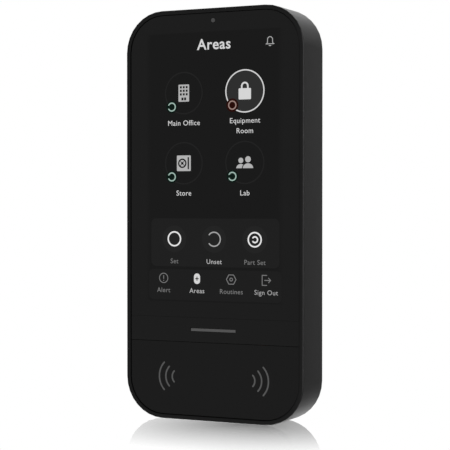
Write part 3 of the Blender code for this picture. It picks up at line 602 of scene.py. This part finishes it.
def arc(x, z, radius, start, end, steps):
    """Points on a circle between two angles in degrees, both ends included."""
    points = []
    for step in range(steps + 1):
        angle = math.radians(start + (end - start) * step / steps)
        points.append((x + radius * math.cos(angle), z + radius * math.sin(angle)))
    return points


def unit(start, end):
    """The direction from one point to another."""
    length = math.dist(start, end)
    return ((end[0] - start[0]) / length, (end[1] - start[1]) / length)


def lit(name, colour):
    """A part of the screen's picture: it gives its own light, under the same gloss."""
    shader = Shader(name, HOLE_BLACK, GLASS_GLOSS)
    shader.set("Emission Color", srgb(colour))
    shader.set("Emission Strength", 1.0)
    shader.smudge()
    return shader


# ---------------------------------------------------------------- the screen's picture


# Layers of the picture, in steps out from the glass
GROUND, CARD, HALO, FAINT, SHAPES = 0.5, 1, 1.5, 2, 3
BADGE_GROUND, HOLES, FRONT, BADGE = 3.4, 3.5, 3.8, 4

# Strokes of the rings and of the symbols, and the angles of an open ring
THIN_STROKE, RING_STROKE, BOLD_STROKE = 0.3, 0.5, 0.6
OPEN_RING = (-140, 140)
OPEN_BADGE = (-150, 150)

TITLE_Z, TITLE_CAP, TITLE_WEIGHT = 69.4, 4.2, 0.09
BELL_X = 24.9

# Four round tiles with a label each, of which one is chosen
TILES = [(-13.8, 49.9), (13.8, 49.9), (-13.8, 21.2), (13.8, 21.2)]
OFFICE, ROOM_TILE, STORE, LAB = range(4)
CHOSEN = ROOM_TILE
TILE_R = 8.45
LABEL_CAP = 2.05
LABELS = (
    ("Main Office", OFFICE, 37.7),
    ("Equipment", ROOM_TILE, 38.1),
    ("Room", ROOM_TILE, 34.0),
    ("Store", STORE, 9.0),
    ("Lab", LAB, 9.0),
)
BADGE_R = 1.62
BADGE_OFFSET = 5.55
GREEN_GROUND_R, RED_GROUND_R = 2.5, 2.7

# Three modes on a card, and four tabs under it
MODES = [(-18.2, -9.8), (0.0, -9.8), (18.2, -9.8)]
MODE_R, HALO_R = 2.85, 5.5
MODE_WORDS_Z, MODE_CAP = -18.9, 1.9
TABS = [-23.2, -7.75, 7.75, 23.2]
TAB_Z = -26.0
TAB_WORDS_Z, TAB_CAP = -30.9, 1.9
TAB_LINE = 0.34

# The lower cover's arcs: each one's middle and radius, then what they share
ARCS = ((24.75, 8.1), (21.75, 5.77), (18.75, 3.2))
ARCS_Z = -66.5
ARC_STROKE = 0.65
ARC_HALF_ANGLE = 44


def screen():
    """Every layer of the picture that shows through the glass."""
    backgrounds()
    mode_rings()
    bright_shapes()
    icons()
    middle_shapes()
    dim_shapes()
    icon_holes()
    front_person()
    badges()


def backgrounds():
    """The dark ground, its card and tab bar, and the faint rounds under the symbols."""
    ground = Drawing("screen_ground", screen_tint(), GROUND, shift=0.0)
    ground.panel((-SCREEN_HALF_W, SCREEN_HALF_W), (SCREEN_LOW, SCREEN_HIGH), 0.4)
    ground.finish()
    for name, level, half_w, z_range in (
        ("screen_card", 13, 29.0, (-21.1, -1.4)),
        ("screen_tab_bar", 10, 30.0, (-34.9, -22.3)),
    ):
        soft = Drawing(name, lit(name, level), CARD)
        soft.panel((-half_w, half_w), z_range, 2.2)
        soft.finish()
    faint = Drawing("screen_faint_rings", lit("screen_faint", 18), FAINT)
    for index, (x, z) in enumerate(TILES):
        if index != CHOSEN:
            faint.ring(x, z, TILE_R, RING_STROKE)
    faint.finish()
    halo = Drawing("screen_halos", lit("screen_halo", 20), HALO)
    for x, z in MODES:
        halo.disc(x, z, HALO_R)
    halo.finish()
    fill = Drawing("screen_chosen_fill", lit("screen_fill", 36), HALO)
    fill.disc(*TILES[CHOSEN], TILE_R, 64)
    fill.finish()


def screen_tint():
    """The dark picture area, which fades into the printed border at its edges."""
    tint = Shader("screen_tint", SCREEN_BLACK, GLASS_GLOSS)
    split = tint.node("ShaderNodeSeparateXYZ")
    tint.link(tint.place(1.0), split.inputs["Vector"])
    across = tint.node("ShaderNodeMath", operation="ABSOLUTE")
    tint.link(split.outputs["X"], across.inputs[0])
    inner = SCREEN_HALF_W - SCREEN_EDGE
    edge = tint.spread(across.outputs["Value"], 0.0, 1.0, inner, SCREEN_HALF_W)
    shade = tint.blend(edge, srgb(SCREEN_BLACK), srgb(PRINT_BLACK))
    tint.link(shade, tint.main.inputs["Base Color"])
    tint.smudge()
    return tint


def mode_rings():
    """The first and the last mode's rings. The last has an open ring inside."""
    rings = Drawing("screen_mode_rings", lit("screen_brightest", 232), SHAPES)
    rings.ring(*MODES[0], MODE_R, BOLD_STROKE)
    rings.ring(*MODES[2], MODE_R, BOLD_STROKE)
    x, z = MODES[2]
    rings.ring(x + 0.1, z, 1.15, BOLD_STROKE, *OPEN_RING)
    rings.finish()


def bright_shapes():
    """The title, the labels, the chosen tile with its padlock, and the chosen tab."""
    bright = Drawing("screen_bright_shapes", lit("screen_bright", 212), SHAPES)
    bright.text("Areas", 0, TITLE_Z, TITLE_CAP, TITLE_WEIGHT)
    bright.ring(*TILES[CHOSEN], TILE_R, RING_STROKE)
    x, z = TILES[CHOSEN]
    bright.panel((x - 2.75, x + 2.75), (z - 3.4, z + 1.1), 0.4)
    shackle = arc(x, z + 2.0, 1.35, 180, 0, 12)
    bright.stroke([(x - 1.35, z + 1.0), *shackle, (x + 1.35, z + 1.0)], 0.7)
    x, z = TABS[1], TAB_Z
    bright.panel((x - 1.4, x + 1.4), (z - 2.15, z + 2.15), 1.35)
    for label, tile, height in LABELS:
        bright.text(label, TILES[tile][0], height, LABEL_CAP)
    bright.finish()
    words = Drawing("screen_words", lit("screen_words", 185), SHAPES)
    words.text("Unset", MODES[1][0], MODE_WORDS_Z, MODE_CAP)
    words.text("Areas", TABS[1], TAB_WORDS_Z, TAB_CAP)
    words.finish()


def icons():
    """The block, the cabinet and the rear person in their tiles, and the bell."""
    drawing = Drawing("screen_icons", lit("screen_icon", 176), SHAPES)
    x, z = TILES[OFFICE]
    drawing.panel((x - 2.45, x + 2.45), (z - 3.5, z + 3.5), 0.3)
    x, z = TILES[STORE]
    drawing.panel((x - 3.2, x + 3.2), (z - 3.2, z + 3.2), 0.4)
    x, z = TILES[LAB]
    person(drawing, x - 1.75, z - 2.3, 0.88)
    bell(drawing, BELL_X, TITLE_Z)
    drawing.finish()


def person(drawing, x, z, size, grow=0.0):
    """A head over a pair of shoulders that stand on the height z."""
    drawing.disc(x, z + 3.55 * size, 1.25 * size + grow, 24)
    shoulders = arc(0, 0, 1.0, 0, 180, 12)
    width, height = 2.3 * size + grow, 1.95 * size + grow
    drawing.face([(x + px * width, z + pz * height) for px, pz in shoulders])


def front_person():
    x, z = TILES[LAB]
    drawing = Drawing("screen_front_person", lit("screen_icon_front", 176), FRONT)
    person(drawing, x + 1.45, z - 2.3, 1.0)
    drawing.finish()


def bell(drawing, x, z):
    """A bell in outline: its dome, its rim and its clapper."""
    dome = [(x - 1.35, z - 1.0), (x - 1.1, z - 0.4)]
    dome += arc(x, z + 0.6, 1.1, 180, 0, 12)
    dome += [(x + 1.1, z - 0.4), (x + 1.35, z - 1.0)]
    drawing.stroke(dome, THIN_STROKE)
    drawing.stroke([(x - 1.75, z - 1.15), (x + 1.75, z - 1.15)], THIN_STROKE)
    drawing.stroke([(x - 0.35, z - 1.85), (x + 0.35, z - 1.85)], TAB_LINE)


def icon_holes():
    """Dark details that sit on the light icons."""
    shader = Shader("screen_hole", HOLE_BLACK, GLASS_GLOSS)
    holes = Drawing("screen_icon_holes", shader, HOLES)
    x, z = TILES[OFFICE]
    for column in (-1.35, 0.0, 1.35):
        for row in (2.4, 0.95, -0.5):
            cx, cz = x + column, z + row
            holes.panel((cx - 0.42, cx + 0.42), (cz - 0.45, cz + 0.45), 0.1)
    for side in (-1, 1):
        cx = x + side * 0.62
        holes.panel((cx - 0.46, cx + 0.46), (z - 2.95, z - 1.8), 0.1)
    x, z = TILES[STORE]
    dial = x - 0.7
    holes.ring(dial, z, 1.65, 0.6)
    holes.disc(dial, z, 0.55, 16)
    for angle in (45, 135, 225, 315):
        spoke = [arc(dial, z, radius, angle, angle + 1, 1)[0] for radius in (0.4, 1.4)]
        holes.stroke(spoke, 0.25)
    holes.panel((x + 1.75, x + 2.4), (z - 2.5, z + 2.5), 0.2)
    x, z = TILES[LAB]
    person(holes, x + 1.45, z - 2.3, 1.0, grow=0.42)
    x, z = TABS[1], TAB_Z
    holes.panel((x - 0.2, x + 0.2), (z - 0.85, z + 0.85), 0.1)
    holes.panel((x - 0.8, x + 0.8), (z - 0.2, z + 0.2), 0.1)
    holes.finish()


def middle_shapes():
    """The middle mode's open ring and the last tab's words, a little dimmer."""
    middle = Drawing("screen_middle_shapes", lit("screen_middle", 165), SHAPES)
    middle.ring(*MODES[1], MODE_R, RING_STROKE, *OPEN_RING)
    middle.text("Sign Out", TABS[3], TAB_WORDS_Z, TAB_CAP)
    middle.finish()


def dim_shapes():
    """The other words, and the symbols of the tabs that are not chosen."""
    dim = Drawing("screen_dim_shapes", lit("screen_dim", 118), SHAPES)
    dim.text("Set", MODES[0][0], MODE_WORDS_Z, MODE_CAP)
    dim.text("Part Set", MODES[2][0], MODE_WORDS_Z, MODE_CAP)
    dim.text("Alert", TABS[0], TAB_WORDS_Z, TAB_CAP)
    dim.text("Routines", TABS[2], TAB_WORDS_Z, TAB_CAP)
    x = TABS[0]
    dim.ring(x, TAB_Z, 1.95, 0.32)
    dim.stroke([(x, TAB_Z + 1.0), (x, TAB_Z - 0.2)], TAB_LINE)
    dim.disc(x, TAB_Z - 1.0, 0.22, 10)
    x = TABS[2]
    dim.stroke(arc(x, TAB_Z, 2.15, 0, 300, 5), TAB_LINE, closed=True)
    dim.ring(x, TAB_Z, 0.6, TAB_LINE)
    x = TABS[3]
    door = [(x + 0.3, TAB_Z + 2.0), (x - 1.7, TAB_Z + 2.0), (x - 1.7, TAB_Z - 2.0)]
    dim.stroke(door + [(x + 0.3, TAB_Z - 2.0)], TAB_LINE)
    dim.stroke([(x - 0.6, TAB_Z), (x + 2.0, TAB_Z)], TAB_LINE)
    head = [(x + 1.1, TAB_Z + 0.9), (x + 2.0, TAB_Z), (x + 1.1, TAB_Z - 0.9)]
    dim.stroke(head, TAB_LINE)
    dim.finish()


def badges():
    """A small state ring on each tile: open and green, or closed and red if chosen."""
    dark = badge_ground("badge_green_dark", (6, 23, 17))
    green_ground = Drawing("badge_green_ground", dark, BADGE_GROUND)
    green = Drawing("badge_green_rings", lit("badge_green", (158, 185, 175)), BADGE)
    for index, (x, z) in enumerate(TILES):
        if index != CHOSEN:
            cx, cz = x - BADGE_OFFSET, z - BADGE_OFFSET
            green_ground.disc(cx, cz, GREEN_GROUND_R, 24)
            green.ring(cx, cz, BADGE_R, RING_STROKE, *OPEN_BADGE)
    green_ground.finish()
    green.finish()
    x, z = TILES[CHOSEN]
    cx, cz = x - BADGE_OFFSET, z - BADGE_OFFSET
    dark = badge_ground("badge_red_dark", (38, 6, 2))
    red_ground = Drawing("badge_red_ground", dark, BADGE_GROUND)
    red_ground.disc(cx, cz, RED_GROUND_R, 24)
    red_ground.finish()
    red = Drawing("badge_red_ring", lit("badge_red", (154, 128, 120)), BADGE)
    red.ring(cx, cz, BADGE_R, RING_STROKE)
    red.finish()


def badge_ground(name, colour):
    """A dark colour that keeps its depth, because it mirrors little of the room."""
    shader = lit(name, colour)
    shader.set("Specular IOR Level", 0.1)
    return shader


def reader_arcs():
    """Three arcs at each side of the lower cover, printed in grey."""
    ink = Shader("grey_ink", 172, 0.5)
    ink.vary(ink.noise(2.0), 0.08)
    arcs = Drawing("reader_arcs", ink, 1, COVER_Y, 0.0)
    for side in (-1, 1):
        facing = 0 if side > 0 else 180
        ends = (facing - ARC_HALF_ANGLE, facing + ARC_HALF_ANGLE)
        for middle, radius in ARCS:
            arcs.ring(side * (middle - radius), ARCS_Z, radius, ARC_STROKE, *ends)
    arcs.finish()


# ---------------------------------------------------------------- studio


def camera():
    """To the keypad's right by the fitted angle, and level with its middle."""
    turn = math.radians(CAMERA_TURN)
    middle = (cad_box[0].y + cad_box[1].y) / 2
    across = Vector((math.cos(turn), math.sin(turn), 0))
    back = Vector((math.sin(turn), -math.cos(turn), 0))
    place = (back * CAMERA_DISTANCE + across * CAMERA_SIDE) * MM
    data = bpy.data.cameras.new("camera")
    data.lens = CAMERA_LENS
    data.sensor_width = SENSOR
    data.clip_start = 0.01
    obj = bpy.data.objects.new("camera", data)
    obj.location = (place.x, place.y + middle, CAMERA_HEIGHT * MM)
    obj.rotation_euler = (math.radians(90 - CAMERA_PITCH), 0, turn)
    bpy.context.scene.collection.objects.link(obj)
    bpy.context.scene.camera = obj


def side_light():
    """A tall soft box at the right, turned to the keypad."""
    data = bpy.data.lights.new("right_box", "AREA")
    data.shape = "RECTANGLE"
    data.size, data.size_y = RIGHT_SIZE
    data.energy = RIGHT_POWER
    obj = bpy.data.objects.new("right_box", data)
    obj.location = RIGHT_PLACE
    obj.rotation_euler = (-Vector(RIGHT_PLACE)).to_track_quat("-Z", "Y").to_euler()
    bpy.context.scene.collection.objects.link(obj)


class NodeMath:
    """Short calls for number nodes in any node tree."""

    def __init__(self, tree):
        self.tree = tree

    def put(self, socket, value):
        if isinstance(value, (int, float)):
            socket.default_value = value
        else:
            self.tree.links.new(value, socket)

    def calc(self, operation, *values):
        made = self.tree.nodes.new("ShaderNodeMath")
        made.operation = operation
        for socket, value in zip(made.inputs, values):
            self.put(socket, value)
        return made.outputs["Value"]

    def vector(self, operation, output, first, second=None):
        made = self.tree.nodes.new("ShaderNodeVectorMath")
        made.operation = operation
        self.tree.links.new(first, made.inputs[0])
        if second is not None:
            made.inputs[1].default_value = second
        return made.outputs[output]

    def ramp(self, value, start, end, low, high, kind="SMOOTHSTEP"):
        """A value that goes from low to high between start and end."""
        made = self.tree.nodes.new("ShaderNodeMapRange")
        made.interpolation_type = kind
        self.tree.links.new(value, made.inputs["Value"])
        sockets = ("From Min", "From Max", "To Min", "To Max")
        for name, number in zip(sockets, (start, end, low, high)):
            made.inputs[name].default_value = number
        return made.outputs["Result"]


def studio():
    """A dim room with a white backdrop.

    The camera and the floor's mirror see it as plain white all round.
    """
    world = bpy.data.worlds.new("studio")
    bpy.context.scene.world = world
    world.use_nodes = True
    tree = world.node_tree
    number = NodeMath(tree)
    direction = tree.nodes.new("ShaderNodeTexCoord").outputs["Generated"]

    def zone(middle, start, end, low, high):
        axis = Vector(middle).normalized()
        towards = number.vector("DOT_PRODUCT", "Value", direction, axis)
        return number.ramp(towards, start, end, low, high)

    room = ROOM
    for dim in DIM_ZONES:
        room = number.calc("MULTIPLY", zone(*dim), room)
    lift = number.calc("MULTIPLY", zone(*BACKDROP), number.calc("SUBTRACT", 1.0, room))
    ground = tree.nodes["Background"]
    ground.inputs["Color"].default_value = (1, 1, 1, 1)
    tree.links.new(number.calc("ADD", room, lift), ground.inputs["Strength"])
    shown = tree.nodes.new("ShaderNodeBackground")
    shown.inputs["Color"].default_value = (1, 1, 1, 1)
    path = tree.nodes.new("ShaderNodeLightPath")
    first = number.calc("LESS_THAN", path.outputs["Ray Depth"], FIRST_MIRROR)
    mirrored = number.calc("MULTIPLY", path.outputs["Is Singular Ray"], first)
    direct = number.calc("MAXIMUM", path.outputs["Is Camera Ray"], mirrored)
    mix = tree.nodes.new("ShaderNodeMixShader")
    tree.links.new(direct, mix.inputs[0])
    tree.links.new(ground.outputs[0], mix.inputs[1])
    tree.links.new(shown.outputs[0], mix.inputs[2])
    tree.links.new(mix.outputs[0], tree.nodes["World Output"].inputs["Surface"])
    bpy.context.scene.view_settings.view_transform = "Standard"


def floor_look():
    """Clear, so that the white shows, with a mirror near the keypad that soon fades."""
    made = bpy.data.materials.new("floor")
    made.use_nodes = True
    tree = made.node_tree
    tree.nodes.remove(tree.nodes["Principled BSDF"])
    number = NodeMath(tree)
    place = tree.nodes.new("ShaderNodeTexCoord").outputs["Object"]
    offset = number.vector("SUBTRACT", "Vector", place, Vector(FOOT_CENTRE) * MM)
    apart = number.vector("ABSOLUTE", "Vector", offset)
    beyond = number.vector("SUBTRACT", "Vector", apart, Vector(FOOT_HALF) * MM)
    outside = number.vector("MAXIMUM", "Vector", beyond, (0, 0, 0))
    distance = number.vector("LENGTH", "Value", outside)
    fade = number.ramp(distance, 0, FADE * MM, MIRROR, 0, "LINEAR")
    facing = tree.nodes.new("ShaderNodeLayerWeight").outputs["Facing"]
    share = number.calc("MULTIPLY", fade, number.calc("POWER", facing, MIRROR_FALL))
    below = tree.nodes.new("ShaderNodeNewGeometry").outputs["Backfacing"]
    share = number.calc("MULTIPLY", share, number.calc("SUBTRACT", 1.0, below))
    clear = tree.nodes.new("ShaderNodeBsdfTransparent")
    gloss = tree.nodes.new("ShaderNodeBsdfAnisotropic")
    gloss.inputs["Color"].default_value = (1, 1, 1, 1)
    gloss.inputs["Roughness"].default_value = 0.0
    mix = tree.nodes.new("ShaderNodeMixShader")
    tree.links.new(share, mix.inputs[0])
    tree.links.new(clear.outputs[0], mix.inputs[1])
    tree.links.new(gloss.outputs[0], mix.inputs[2])
    tree.links.new(mix.outputs[0], tree.nodes["Material Output"].inputs["Surface"])
    return made


def floor():
    """A level sheet just under the keypad."""
    mesh = bpy.data.meshes.new("floor")
    level = cad_box[0].z - 0.05 * MM
    corners = [(-FLOOR, -FLOOR), (FLOOR, -FLOOR), (FLOOR, FLOOR), (-FLOOR, FLOOR)]
    mesh.from_pydata([(x, y, level) for x, y in corners], [], [(0, 1, 2, 3)])
    obj = bpy.data.objects.new("floor", mesh)
    bpy.context.scene.collection.objects.link(obj)
    mesh.materials.append(floor_look())


def main():
    case_looks()
    front_looks()
    board_looks()
    metal_looks()
    tamper_coil()
    soft_and_power_looks()
    screen()
    reader_arcs()
    camera()
    studio()
    side_light()
    floor()


main()
